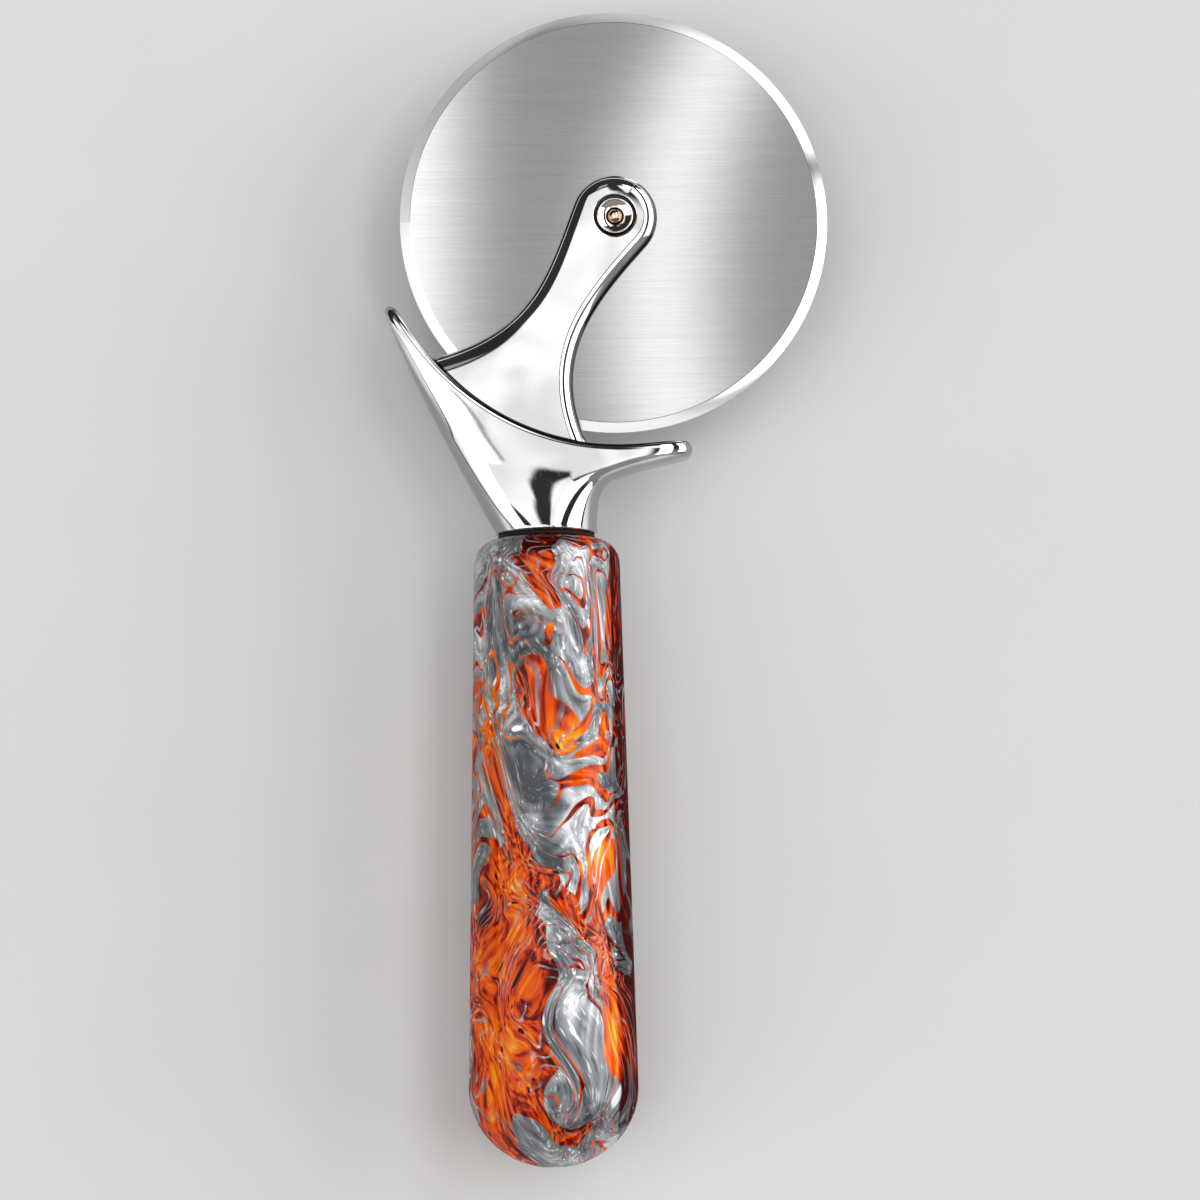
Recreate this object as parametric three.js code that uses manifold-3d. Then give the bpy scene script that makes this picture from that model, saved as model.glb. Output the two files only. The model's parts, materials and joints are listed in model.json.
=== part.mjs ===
// Pizza cutter lying on a table: turned resin handle, plated head with a finger guard, round blade.
// Millimetres, +Z up. +Y runs along the handle towards the blade, +Z is square to the blade.
// Everything is placed from the handle's axis at the handle's top face, and the finished
// group is then moved so that its origin is the middle of its base.

import * as THREE from 'three';
import { mergeVertices } from 'three/addons/utils/BufferGeometryUtils.js';
import Module from 'manifold-3d';

const wasm = await Module();
wasm.setup();

// Blade
const bladeDiameter = 101.6;
const bladeThickness = 1.3;
const bladeEdgeThickness = 0.3;
const bladeBevelWidth = 2.35;

// Pivot
const rivetShankRadius = 2.75;
const rivetTenonRadius = 1.8;
const rivetTipHeight = 0.9;
const rivetHeadRadius = 4.4;
const rivetHeadRim = 0.6;
const rivetHeadDome = 0.9;
const bushWall = 1.8;
const bushOverhang = 0.15;
const thrustWasherRadius = 7;
const thrustWasherThickness = 1.1;
const cupRadius = 4.3;
const cupFloor = 0.5;
const cupRimHeight = 1.6;
const cupRimWidth = 0.55;

// Fork arms
const armThickness = 4.8;
const armEdgeRounding = 1.8;
const eyeRadius = 10.1;
const counterboreGap = 0.6;
const counterboreDepth = 2;
const armRootDepth = 3.2;
const slotRelief = 0.8;
const armLeft = { leave: 159, root: -142.4, heading: 15.7, eyePull: 19.4, rootPull: 24.7 };
const armRight = { leave: -42, root: -97.5, heading: 113.7, eyePull: 17, rootPull: 23.1 };

// Finger guard and neck
const guardClearance = 3.7;
const guardFloorHeight = 21.7;
const guardStep = 0.9;
const guardLip = 1.6;
const guardCorner = 5;
const hornFlare = 1.5;
const hornLeft = {
  angle: -159.3,
  tipRadius: 1.2,
  footAngle: 119.3,
  footPull: 17,
  tipAngle: 111,
  tipPull: 17,
};
const hornRight = {
  angle: -72.2,
  tipRadius: 1.9,
  footAngle: 90,
  footPull: 13,
  tipAngle: 12.7,
  tipPull: 20.5,
};
const headOffset = 17;
const neckRadius = 12;
const neckEdge = 0.8;

// Handle and what is inside it
const handleLength = 146;
const handleTopRadius = 17.15;
const handleButtRadius = 19.65;
const handleShoulder = 6;
const handleDome = 18.4;
const buttFlatRadius = 3;
const neckWasherThickness = 1.1;
const neckWasherInset = 0.6;
const studRadius = 4.5;
const studInNeck = 13;
const studInHandle = 22;
const studChamfer = 0.8;
const insertWall = 1.55;
const insertLength = 25;
const insertGrooves = 3;
const insertGrooveWidth = 1.6;
const insertGrooveDepth = 0.7;

// Clearances
const fitGap = 0.3;
const runningGap = 0.1;
const cutterOverrun = 1;

// Flat sides that stand for a full circle
const handleSides = 40;
const bladeSides = 96;
const counterboreSides = 36;
const pivotSides = 32;
const studSides = 28;

// Places that follow from the sizes above
const bladeRadius = bladeDiameter / 2;
const guardRadius = bladeRadius + guardClearance;
const pivot = new THREE.Vector2(headOffset, guardFloorHeight + guardRadius);
const bushRadius = rivetShankRadius + runningGap + bushWall;
const bushHalfLength = bladeThickness / 2 + bushOverhang;
const washerFace = bushHalfLength + fitGap;
const slotHalfWidth = washerFace + thrustWasherThickness + fitGap;
const armFace = slotHalfWidth + armThickness;
const guardHalfDepth = armFace + guardStep;
const counterboreRadius = Math.max(cupRadius, rivetHeadRadius) + counterboreGap;
const counterboreFloor = armFace - counterboreDepth;
const shankHole = rivetShankRadius + fitGap;
const neckBottom = neckWasherThickness;
const neckWasherRadius = neckRadius - neckWasherInset;
const studHole = studRadius + fitGap;
const insertRadius = studHole + insertWall;
const insertHole = insertRadius + fitGap;

const degrees = Math.PI / 180;

const finishes = {
  resin: { color: 0x9a8f8c, roughness: 0.15, metalness: 0.1 },
  chrome: { color: 0xe8e8ea, roughness: 0.06, metalness: 1 },
  brushedSteel: { color: 0xc6c7c8, roughness: 0.32, metalness: 1 },
  nickel: { color: 0xd9cfc4, roughness: 0.12, metalness: 1 },
  bronze: { color: 0xa87b45, roughness: 0.35, metalness: 1 },
  brass: { color: 0xc9a24a, roughness: 0.3, metalness: 1 },
  zincSteel: { color: 0xa9adb2, roughness: 0.35, metalness: 1 },
  nylon: { color: 0xe9e6de, roughness: 0.5, metalness: 0 },
  blackRubber: { color: 0x121212, roughness: 0.55, metalness: 0 },
};

function named(name, geometry, finish) {
  const mesh = new THREE.Mesh(geometry, new THREE.MeshStandardMaterial(finishes[finish]));
  mesh.name = name;
  return mesh;
}

// A profile is a list of [radius, height] pairs, up the outside and down any bore.
function turned(profile, segments) {
  const points = profile.map(([radius, height]) => new THREE.Vector2(radius, height));
  return new THREE.LatheGeometry(points, segments);
}

// A ring's profile closes on itself.
function turnedRing(profile, segments) {
  return turned([...profile, profile[0]], segments);
}

// Turns a lathe shape from the Y axis to the Z axis, centred on the pivot.
function onPivot(geometry) {
  return geometry.rotateX(Math.PI / 2).translate(pivot.x, pivot.y, 0);
}

// Points of an ellipse quarter: from the first angle to the last, ends included.
function arcPoints(centreRadius, centreHeight, radius, height, fromAngle, toAngle, steps) {
  return Array.from({ length: steps + 1 }, (_, i) => {
    const angle = (fromAngle + ((toAngle - fromAngle) * i) / steps) * degrees;
    return [centreRadius + radius * Math.cos(angle), centreHeight + height * Math.sin(angle)];
  });
}

function toSolid(geometry) {
  const bare = geometry.clone();
  bare.deleteAttribute('normal');
  bare.deleteAttribute('uv');
  const merged = mergeVertices(bare, 1e-4);
  const corners = Array.from(merged.index.array);
  const kept = [];
  for (let i = 0; i < corners.length; i += 3) {
    const [a, b, c] = corners.slice(i, i + 3);
    if (a !== b && b !== c && c !== a) kept.push(a, b, c);
  }
  const vertProperties = new Float32Array(merged.attributes.position.array);
  return new wasm.Manifold(new wasm.Mesh({ numProp: 3, vertProperties, triVerts: new Uint32Array(kept) }));
}

function toGeometry(solid) {
  const mesh = solid.getMesh();
  const geometry = new THREE.BufferGeometry();
  geometry.setAttribute('position', new THREE.BufferAttribute(new Float32Array(mesh.vertProperties), 3));
  geometry.setIndex(new THREE.BufferAttribute(new Uint32Array(mesh.triVerts), 1));
  geometry.computeVertexNormals();
  return geometry;
}

function direction(angle) {
  return new THREE.Vector2(Math.cos(angle * degrees), Math.sin(angle * degrees));
}

function aroundPivot(radius, angle) {
  return direction(angle).multiplyScalar(radius).add(pivot);
}

// Handle: straight taper with a round shoulder, a domed butt, and a bore for the insert.
function makeHandle() {
  const taperTop = -handleShoulder;
  const flatAngle = Math.acos(buttFlatRadius / handleButtRadius) / degrees;
  const taperEnd = -handleLength + handleDome * Math.sin(flatAngle * degrees);
  const boreBottom = -(insertLength + 2 * fitGap);
  const pilotBottom = Math.min(boreBottom, -studInHandle) - fitGap - studChamfer;
  const profile = [
    [0, -handleLength],
    ...arcPoints(0, taperEnd, handleButtRadius, handleDome, -flatAngle, 0, 9),
    ...arcPoints(handleTopRadius - handleShoulder, taperTop, handleShoulder, handleShoulder, 0, 90, 6),
    [insertHole, 0],
    [insertHole, boreBottom],
    [studHole, boreBottom],
    [studHole, pilotBottom],
    [0, pilotBottom],
  ];
  return turned(profile, handleSides);
}

// Insert: a brass sleeve with glue grooves round its outside, just below the handle's top face.
function makeInsert() {
  const top = -fitGap;
  const bottom = top - insertLength;
  const pitch = (top - bottom) / (insertGrooves + 1);
  const profile = [[studHole, bottom], [insertRadius, bottom]];
  for (let i = 1; i <= insertGrooves; i += 1) {
    const middle = bottom + pitch * i;
    profile.push([insertRadius, middle - insertGrooveWidth / 2]);
    profile.push([insertRadius - insertGrooveDepth, middle - insertGrooveWidth / 2]);
    profile.push([insertRadius - insertGrooveDepth, middle + insertGrooveWidth / 2]);
    profile.push([insertRadius, middle + insertGrooveWidth / 2]);
  }
  profile.push([insertRadius, top], [studHole, top]);
  return turnedRing(profile, studSides);
}

// Stud: a plain rod at the thread's outside diameter, chamfered at both ends.
function makeStud() {
  const bottom = -studInHandle;
  const top = neckBottom + studInNeck;
  const profile = [
    [0, bottom],
    [studRadius - studChamfer, bottom],
    [studRadius, bottom + studChamfer],
    [studRadius, top - studChamfer],
    [studRadius - studChamfer, top],
    [0, top],
  ];
  return turned(profile, studSides);
}

function makeNeckWasher() {
  const profile = [
    [studHole, 0],
    [neckWasherRadius, 0],
    [neckWasherRadius, neckWasherThickness],
    [studHole, neckWasherThickness],
  ];
  return turnedRing(profile, handleSides);
}

// Outline of one side of the guard from the neck's foot to the horn's tip, as a function of 0 to 1.
// Most of it is one sweep, and the last stretch rounds the tip towards the blade.
function guardSide(horn, side, tip) {
  const foot = new THREE.Vector2(side * neckRadius, neckBottom + neckEdge);
  const outward = direction(horn.angle);
  const along = new THREE.Vector2(-outward.y, outward.x).multiplyScalar(side);
  const centre = tip.clone().addScaledVector(along, -horn.tipRadius);
  const underTip = centre.clone().addScaledVector(outward, horn.tipRadius);
  const sweep = new THREE.CubicBezierCurve(
    foot,
    foot.clone().addScaledVector(direction(horn.footAngle), horn.footPull),
    underTip.clone().addScaledVector(direction(horn.tipAngle), -horn.tipPull),
    underTip,
  );
  const sweepShare = 0.9;
  return (t) => {
    if (t <= sweepShare) return sweep.getPoint(t / sweepShare);
    const turn = ((t - sweepShare) / (1 - sweepShare)) * (Math.PI / 2);
    return centre
      .clone()
      .addScaledVector(outward, horn.tipRadius * Math.cos(turn))
      .addScaledVector(along, horn.tipRadius * Math.sin(turn));
  };
}

// Front view of the guard: across runs from -1 at the left side to 1 at the right side,
// and inset moves a point towards the blade.
function guardRim(across, inset) {
  const middle = (hornLeft.angle + hornRight.angle) / 2;
  const angle = middle + (across * (hornRight.angle - hornLeft.angle)) / 2;
  const radius = guardRadius + hornFlare * across ** 4 + guardLip - inset;
  return aroundPivot(radius, angle);
}

const leftSide = guardSide(hornLeft, -1, guardRim(-1, 0));
const rightSide = guardSide(hornRight, 1, guardRim(1, 0));

// Departure of a side's outline from the straight line between its ends.
function bulge(side, t) {
  const straight = side(0).lerp(side(1), t);
  return side(t).sub(straight);
}

function guardPoint(t, across) {
  const foot = new THREE.Vector2(neckRadius * across, neckBottom + neckEdge);
  const leftShare = ((1 - across) / 2) ** 2;
  const rightShare = ((1 + across) / 2) ** 2;
  return foot
    .lerp(guardRim(across, 0), t)
    .addScaledVector(bulge(leftSide, t), leftShare)
    .addScaledVector(bulge(rightSide, t), rightShare);
}

// Points of a rounded rectangle with sides of 1, as [across, deep]. A corner of 2 is a circle.
function squareCircle(corner, count) {
  return Array.from({ length: count }, (_, i) => {
    const angle = (2 * Math.PI * i) / count;
    const c = Math.cos(angle);
    const s = Math.sin(angle);
    const size = (Math.abs(c) ** corner + Math.abs(s) ** corner) ** (1 / corner);
    return [c / size, s / size];
  });
}

// Neck and guard: a loop that starts as the neck's circle and spreads into the two horns,
// then rolls over the lip and closes on the guard's floor.
function makeNeckAndGuard() {
  const columns = 56;
  const bodyRows = 12;
  const lipRows = 3;
  const loops = [];
  const circle = squareCircle(2, columns);
  for (const angle of [0, 45]) {
    const radius = neckRadius - neckEdge * (1 - Math.sin(angle * degrees));
    const height = neckBottom + neckEdge * (1 - Math.cos(angle * degrees));
    loops.push(circle.map(([across, deep]) => new THREE.Vector3(radius * across, height, radius * deep)));
  }
  for (let row = 0; row <= bodyRows; row += 1) {
    const t = row / bodyRows;
    const spread = t * t * (3 - 2 * t);
    const halfDepth = neckRadius + (guardHalfDepth - neckRadius) * spread;
    const corner = 2 + (guardCorner - 2) * spread;
    loops.push(squareCircle(corner, columns).map(([across, deep]) => {
      const front = guardPoint(t, across);
      return new THREE.Vector3(front.x, front.y, halfDepth * deep);
    }));
  }
  const rim = squareCircle(guardCorner, columns);
  const rimHalfLength = (guardRadius * (hornRight.angle - hornLeft.angle) * degrees) / 2;
  for (let row = 1; row <= lipRows; row += 1) {
    const angle = (row / lipRows) * (Math.PI / 2);
    const inset = guardLip * (1 - Math.cos(angle));
    loops.push(rim.map(([across, deep]) => {
      const front = guardRim(across * (1 - inset / rimHalfLength), guardLip * Math.sin(angle));
      return new THREE.Vector3(front.x, front.y, (guardHalfDepth - inset) * deep);
    }));
  }
  loops.push(loops[loops.length - 1].map((point) => new THREE.Vector3(point.x, point.y, 0)));
  return skin(loops, new THREE.Vector3(0, neckBottom, 0));
}

// Closed skin over a stack of loops: a fan to the foot's middle, then bands from loop to loop.
function skin(loops, footMiddle) {
  const columns = loops[0].length;
  const positions = [footMiddle, ...loops.flat()].flatMap((point) => point.toArray());
  const triangles = [];
  for (let column = 0; column < columns; column += 1) {
    const next = (column + 1) % columns;
    triangles.push(0, 1 + column, 1 + next);
    for (let row = 0; row + 1 < loops.length; row += 1) {
      const here = 1 + row * columns;
      const above = here + columns;
      triangles.push(here + column, above + next, here + next);
      triangles.push(here + column, above + column, above + next);
    }
  }
  const geometry = new THREE.BufferGeometry();
  geometry.setAttribute('position', new THREE.Float32BufferAttribute(positions, 3));
  geometry.setIndex(triangles);
  return geometry;
}

// One edge of the arm from where it leaves the eye's circle to its root on the guard.
function armEdge(edge, turn) {
  const spoke = direction(edge.leave);
  const leave = aroundPivot(eyeRadius, edge.leave);
  const tangent = new THREE.Vector2(-spoke.y, spoke.x).multiplyScalar(turn);
  const root = aroundPivot(guardRadius, edge.root);
  return new THREE.CubicBezierCurve(
    leave,
    leave.clone().addScaledVector(tangent, edge.eyePull),
    root.clone().addScaledVector(direction(edge.heading), edge.rootPull),
    root,
  );
}

// Both arms as one slab with rounded outer edges. The slot that parts them is cut later.
function makeArms() {
  const left = armEdge(armLeft, 1).getPoints(14);
  const right = armEdge(armRight, -1).getPoints(14);
  const eye = new THREE.EllipseCurve(
    pivot.x, pivot.y, eyeRadius, eyeRadius, armRight.leave * degrees, armLeft.leave * degrees,
  ).getPoints(18);
  const rootRadius = guardRadius + armRootDepth;
  const root = new THREE.EllipseCurve(
    pivot.x, pivot.y, rootRadius, rootRadius, armLeft.root * degrees, armRight.root * degrees,
  ).getPoints(8);
  const outline = [...eye.slice(0, -1), ...left, ...root, ...right.reverse().slice(0, -1)];
  const slab = new THREE.ExtrudeGeometry(new THREE.Shape(outline), {
    depth: 2 * (armFace - armEdgeRounding),
    bevelThickness: armEdgeRounding,
    bevelSize: armEdgeRounding,
    bevelOffset: -armEdgeRounding,
    bevelSegments: 3,
  });
  return slab.translate(0, 0, armEdgeRounding - armFace);
}

// A round cutter on the pivot's axis between two heights.
function pivotCutter(radius, low, high, segments) {
  return toSolid(onPivot(turned([[0, low], [radius, low], [radius, high], [0, high]], segments)));
}

// Head: neck, guard and arms in one casting, slotted for the blade and bored for rivet and stud.
function makeHead() {
  const below = neckBottom - cutterOverrun;
  const boreTop = neckBottom + studInNeck + fitGap;
  const studBore = turned([[0, below], [studHole, below], [studHole, boreTop], [0, boreTop]], studSides);
  const outside = armFace + cutterOverrun;
  const solid = toSolid(makeNeckAndGuard())
    .add(toSolid(makeArms()))
    .subtract(pivotCutter(guardRadius + slotRelief, -slotHalfWidth, slotHalfWidth, bladeSides))
    .subtract(pivotCutter(shankHole, -outside, outside, studSides))
    .subtract(pivotCutter(counterboreRadius, counterboreFloor, outside, counterboreSides))
    .subtract(pivotCutter(counterboreRadius, -outside, -counterboreFloor, counterboreSides))
    .subtract(toSolid(studBore));
  return toGeometry(solid);
}

// Blade: a flat disc ground to an edge from both sides, with a hole for its bush.
function makeBlade() {
  const hole = bushRadius + fitGap;
  const face = bladeThickness / 2;
  const edge = bladeEdgeThickness / 2;
  const bevelStart = bladeRadius - bladeBevelWidth;
  const profile = [
    [hole, -face],
    [bevelStart, -face],
    [bladeRadius, -edge],
    [bladeRadius, edge],
    [bevelStart, face],
    [hole, face],
  ];
  return onPivot(turnedRing(profile, bladeSides));
}

function makeBush() {
  const bore = rivetShankRadius + runningGap;
  const profile = [
    [bore, -bushHalfLength],
    [bushRadius, -bushHalfLength],
    [bushRadius, bushHalfLength],
    [bore, bushHalfLength],
  ];
  return onPivot(turnedRing(profile, pivotSides));
}

function makeThrustWasher(side) {
  const heights = [side * washerFace, side * (washerFace + thrustWasherThickness)];
  const low = Math.min(...heights);
  const high = Math.max(...heights);
  const profile = [
    [shankHole, low],
    [thrustWasherRadius, low],
    [thrustWasherRadius, high],
    [shankHole, high],
  ];
  return onPivot(turnedRing(profile, pivotSides));
}

// Rivet: domed head in the rear counterbore, shank through both arms and the bush,
// and a thinner tenon with a domed end that holds the front cup.
function makeRivet() {
  const headSeat = -(counterboreFloor + fitGap);
  const headFace = headSeat - rivetHeadRim;
  const tenonTop = counterboreFloor + fitGap + cupFloor + fitGap;
  const profile = [
    [0, headFace - rivetHeadDome],
    ...arcPoints(0, headFace, rivetHeadRadius, rivetHeadDome, -60, 0, 4),
    [rivetHeadRadius, headSeat],
    [rivetShankRadius, headSeat],
    [rivetShankRadius, counterboreFloor],
    [rivetTenonRadius, counterboreFloor],
    ...arcPoints(0, tenonTop, rivetTenonRadius, rivetTipHeight, 0, 72, 4),
    [0, tenonTop + rivetTipHeight],
  ];
  return onPivot(turned(profile, pivotSides));
}

// Cup: a dished washer whose rim is rolled over, round the rivet's front end.
function makeCup() {
  const hole = rivetTenonRadius + fitGap;
  const floor = counterboreFloor + fitGap;
  const rimTop = floor + cupRimHeight;
  const rimMiddle = cupRadius - cupRimWidth / 2;
  const bowlFoot = (hole + rimMiddle) / 2;
  const profile = [
    [hole, floor],
    [cupRadius, floor],
    ...arcPoints(rimMiddle, rimTop - cupRimWidth / 2, cupRimWidth / 2, cupRimWidth / 2, 0, 180, 6),
    [bowlFoot, floor + cupFloor],
    [hole, floor + cupFloor],
  ];
  return onPivot(turnedRing(profile, pivotSides));
}

const assembly = new THREE.Group();
assembly.add(
  named('handle', makeHandle(), 'resin'),
  named('threaded_insert', makeInsert(), 'brass'),
  named('threaded_stud', makeStud(), 'zincSteel'),
  named('neck_washer', makeNeckWasher(), 'blackRubber'),
  named('head_casting', makeHead(), 'chrome'),
  named('blade', makeBlade(), 'brushedSteel'),
  named('hub_bush', makeBush(), 'bronze'),
  named('front_thrust_washer', makeThrustWasher(1), 'nylon'),
  named('rear_thrust_washer', makeThrustWasher(-1), 'nylon'),
  named('pivot_rivet', makeRivet(), 'nickel'),
  named('front_cup_washer', makeCup(), 'nickel'),
);

// The origin is the middle of the base that the cutter lies on.
const box = new THREE.Box3().setFromObject(assembly);
assembly.position.set(-(box.min.x + box.max.x) / 2, -(box.min.y + box.max.y) / 2, -box.min.z);

export default assembly;
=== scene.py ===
# %% [markdown]
# # A pizza cutter, surface by surface
#
# The cutter is a steel wheel on a rivet, a chromed head that forks round the wheel and spreads into
# two horns, and a turned handle of marbled resin. The packed model already has every piece at its
# real size, with few faces. This lesson covers it with smooth surfaces, finishes and light.

# %% Load the frame
import json
import math

import bmesh
import bpy
import numpy as np
from mathutils import Matrix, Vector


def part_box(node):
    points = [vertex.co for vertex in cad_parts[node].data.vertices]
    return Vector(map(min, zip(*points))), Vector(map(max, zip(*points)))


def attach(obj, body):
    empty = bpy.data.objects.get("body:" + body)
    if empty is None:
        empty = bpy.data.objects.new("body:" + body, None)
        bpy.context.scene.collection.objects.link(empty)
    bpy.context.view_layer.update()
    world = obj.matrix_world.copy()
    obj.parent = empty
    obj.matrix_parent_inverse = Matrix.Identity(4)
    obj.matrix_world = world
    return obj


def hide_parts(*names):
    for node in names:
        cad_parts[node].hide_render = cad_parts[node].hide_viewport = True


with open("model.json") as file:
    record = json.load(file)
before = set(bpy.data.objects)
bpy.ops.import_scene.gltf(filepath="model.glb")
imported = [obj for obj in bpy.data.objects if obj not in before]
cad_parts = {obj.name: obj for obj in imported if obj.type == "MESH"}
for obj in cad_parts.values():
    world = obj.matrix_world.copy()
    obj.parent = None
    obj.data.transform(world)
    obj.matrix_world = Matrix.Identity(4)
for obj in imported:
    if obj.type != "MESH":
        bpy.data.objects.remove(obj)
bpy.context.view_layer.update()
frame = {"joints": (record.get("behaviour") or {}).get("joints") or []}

# %% [markdown]
# Everything is drawn in millimetres from one seat, the middle of the handle's top face: X to the right, Y
# towards the wheel, Z up. The packed boxes give the seat and the axle, so the drawing can't drift.

# %% Seat, axle and the cutter's own sizes in millimetres
MM = 0.001
handle_low, handle_high = (np.array(corner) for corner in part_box("handle"))
seat = (handle_low + handle_high) / 2
seat[1] = handle_high[1]
axle = (np.array(frame["joints"][0]["pos_m"]) - seat) / MM
handle_length = (handle_high[1] - handle_low[1]) / MM
handle_butt_radius = (handle_high[0] - handle_low[0]) / MM / 2
blade_low, blade_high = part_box("blade")
blade_radius = (blade_high[0] - blade_low[0]) / MM / 2
blade_face = (blade_high[2] - blade_low[2]) / MM / 2
print("seat in metres:", seat.round(5), " axle in mm:", axle.round(3), " blade radius:", blade_radius)

# %% [markdown]
# A surface is a grid of points, and neighbours make four-sided faces. Where a grid closes or runs to a
# pole, points share one place. A weld on whole arrays makes them one, so no seam and no hole is left.

# %% Sewing grids together
WELD_STEP = 0.0005


def grid_quads(rows, columns):
    """Corner numbers of every face: a point, its right neighbour and the two points of the next row."""
    index = np.arange(rows * columns).reshape(rows, columns)
    corners = [index[:-1, :-1], index[:-1, 1:], index[1:, 1:], index[1:, :-1]]
    return np.stack(corners, axis=-1).reshape(-1, 4)


def sew(sheets):
    """Points and faces of several grids in one: points that fall on the same weld step become one point."""
    points = np.concatenate([sheet.reshape(-1, 3) for sheet in sheets])
    sizes = [sheet.shape[0] * sheet.shape[1] for sheet in sheets]
    starts = np.cumsum([0] + sizes[:-1])
    quads = np.concatenate([start + grid_quads(*sheet.shape[:2]) for start, sheet in zip(starts, sheets)])
    keys = np.round(points / WELD_STEP).astype(np.int64)
    _, kept, where = np.unique(keys, axis=0, return_index=True, return_inverse=True)
    quads = where.reshape(-1)[quads]
    same = quads == np.roll(quads, -1, axis=1)
    repeats = same.sum(axis=1)
    squares = quads[repeats == 0]
    triangles = quads[repeats == 1][~same[repeats == 1]].reshape(-1, 3)
    return points[kept], squares.tolist() + triangles.tolist()


print("a grid of 3 by 4 points has", len(grid_quads(3, 4)), "faces")

# %% [markdown]
# An object could be moved and scaled into place. Here its points go straight from millimetres into the
# frame's metres, so every object stays at the origin. Edges that turn by a clear angle stay crisp.

# %% A piece from grids
SHARP_ANGLE = 32


def shade(mesh, sharp_angle):
    """Smooth shading everywhere except across edges that turn by more than the angle."""
    mesh.shade_smooth()
    mesh.set_sharp_from_angle(angle=math.radians(sharp_angle))


def describe(piece):
    """Prints a piece's triangles, open edges and size."""
    shape = bmesh.new()
    shape.from_mesh(piece.data)
    open_edges = sum(not edge.is_manifold for edge in shape.edges)
    triangles = sum(len(face.verts) - 2 for face in shape.faces)
    shape.free()
    size = (np.array(piece.dimensions) / MM).round(2)
    print(f"{piece.name}: {triangles} triangles, {open_edges} open edges, {size} mm")


def make_piece(name, *sheets, sharp_angle=SHARP_ANGLE):
    """One closed piece from grids of millimetre points, placed in the frame, with its faces outwards."""
    points, faces = sew(sheets)
    mesh = bpy.data.meshes.new(name)
    mesh.from_pydata((seat + points * MM).tolist(), [], faces)
    shape = bmesh.new()
    shape.from_mesh(mesh)
    bmesh.ops.recalc_face_normals(shape, faces=shape.faces)
    shape.to_mesh(mesh)
    shape.free()
    shade(mesh, sharp_angle)
    piece = bpy.data.objects.new(name, mesh)
    bpy.context.scene.collection.objects.link(piece)
    describe(piece)
    return piece


print("edges that turn by more than", SHARP_ANGLE, "degrees stay crisp")

# %% [markdown]
# Most of the cutter is turned on a lathe, so one function carries a profile round the handle's axis or
# the axle. A Screw modifier could, but arrays weld cleanly at the poles. Small curves at a profile's
# corners catch the light as tumbled edges do.

# %% Profiles carried round an axis
MOST_OF_A_SIDE = 0.45


def as_points(*coordinates):
    """Arrays of coordinates, stretched to one shape, as the last axis of one array."""
    return np.stack(np.broadcast_arrays(*coordinates), axis=-1)


def arc(centre, radii, from_angle, to_angle, steps):
    """Points of an ellipse round the centre, from one angle to another, in degrees."""
    angle = np.radians(np.linspace(from_angle, to_angle, steps))
    return as_points(centre[0] + radii[0] * np.cos(angle), centre[1] + radii[1] * np.sin(angle))


def eased(corners, reach, steps=5):
    """Closed profile whose corners become parabolas that start and end at a reach along each side."""
    here = np.array(corners, float)

    def towards(other):
        side = other - here
        share = np.minimum(reach / np.linalg.norm(side, axis=1, keepdims=True), MOST_OF_A_SIDE)
        return here + side * share

    start, end = towards(np.roll(here, 1, axis=0)), towards(np.roll(here, -1, axis=0))
    s = np.linspace(0, 1, steps)[:, None, None]
    curve = (1 - s) ** 2 * start + 2 * s * (1 - s) * here + s**2 * end
    loop = curve.transpose(1, 0, 2).reshape(-1, 2)
    return np.vstack([loop, loop[:1]])


def turned(profile, sides, about):
    """A point of radius r and height h goes to (r cos a, h, r sin a) about the handle, or to the axle
    plus (r cos a, r sin a) at height h about the axle, for the angle a all the way round."""
    radius, height = np.asarray(profile, float).T[:, :, None]
    angle = np.linspace(0, 2 * np.pi, sides + 1)
    first, second = radius * np.cos(angle), radius * np.sin(angle)
    if about == "handle":
        return as_points(first, height, second)
    return as_points(axle[0] + first, axle[1] + second, height)


def turn_piece(name, profile, sides, about, sharp_angle=SHARP_ANGLE):
    """A turned piece from its profile."""
    return make_piece(name, turned(profile, sides, about), sharp_angle=sharp_angle)


print("a quarter circle in three points:", arc((0, 0), (1, 1), 0, 90, 3).round(3).tolist())

# %% [markdown]
# The handle is a straight taper with a round shoulder, a dome parted off with a small flat, and a bore
# for the insert. A bevelled cylinder comes close, but this profile is the lathe's own path, so the taper
# runs into both curves cleanly.

# %% Handle
handle_top_radius = 17.15
handle_shoulder = 6.0
handle_dome = 18.4
butt_flat_radius = 3.0
insert_hole = 6.65
stud_hole = 4.8
insert_bore_depth = 25.6
pilot_depth = 26.7
flat_angle = math.degrees(math.acos(butt_flat_radius / handle_butt_radius))
dome_middle = (0, -handle_length + handle_dome * math.sin(math.radians(flat_angle)))
shoulder_middle = (handle_top_radius - handle_shoulder, -handle_shoulder)
handle_profile = np.vstack([
    [[0, -handle_length]],
    arc(dome_middle, (handle_butt_radius, handle_dome), -flat_angle, 0, 40),
    arc(shoulder_middle, (handle_shoulder, handle_shoulder), 0, 90, 24),
    [[insert_hole, 0], [insert_hole, -insert_bore_depth], [stud_hole, -insert_bore_depth]],
    [[stud_hole, -pilot_depth], [0, -pilot_depth]],
])
resin_handle = turn_piece("resin_handle", handle_profile, 192, "handle")

# %% [markdown]
# A zinc plated stud joins handle and head. A modifier can wind up a thread. As one grid, with a radius
# that rises and falls once for each pitch, thread and chamfers come from one formula.

# %% Threaded stud
stud_radius = 4.5
stud_bottom, stud_top = -22.0, 14.1
stud_chamfer = 0.8
thread_pitch = 1.5
thread_depth = 0.75
thread_slope = 2.5


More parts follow.
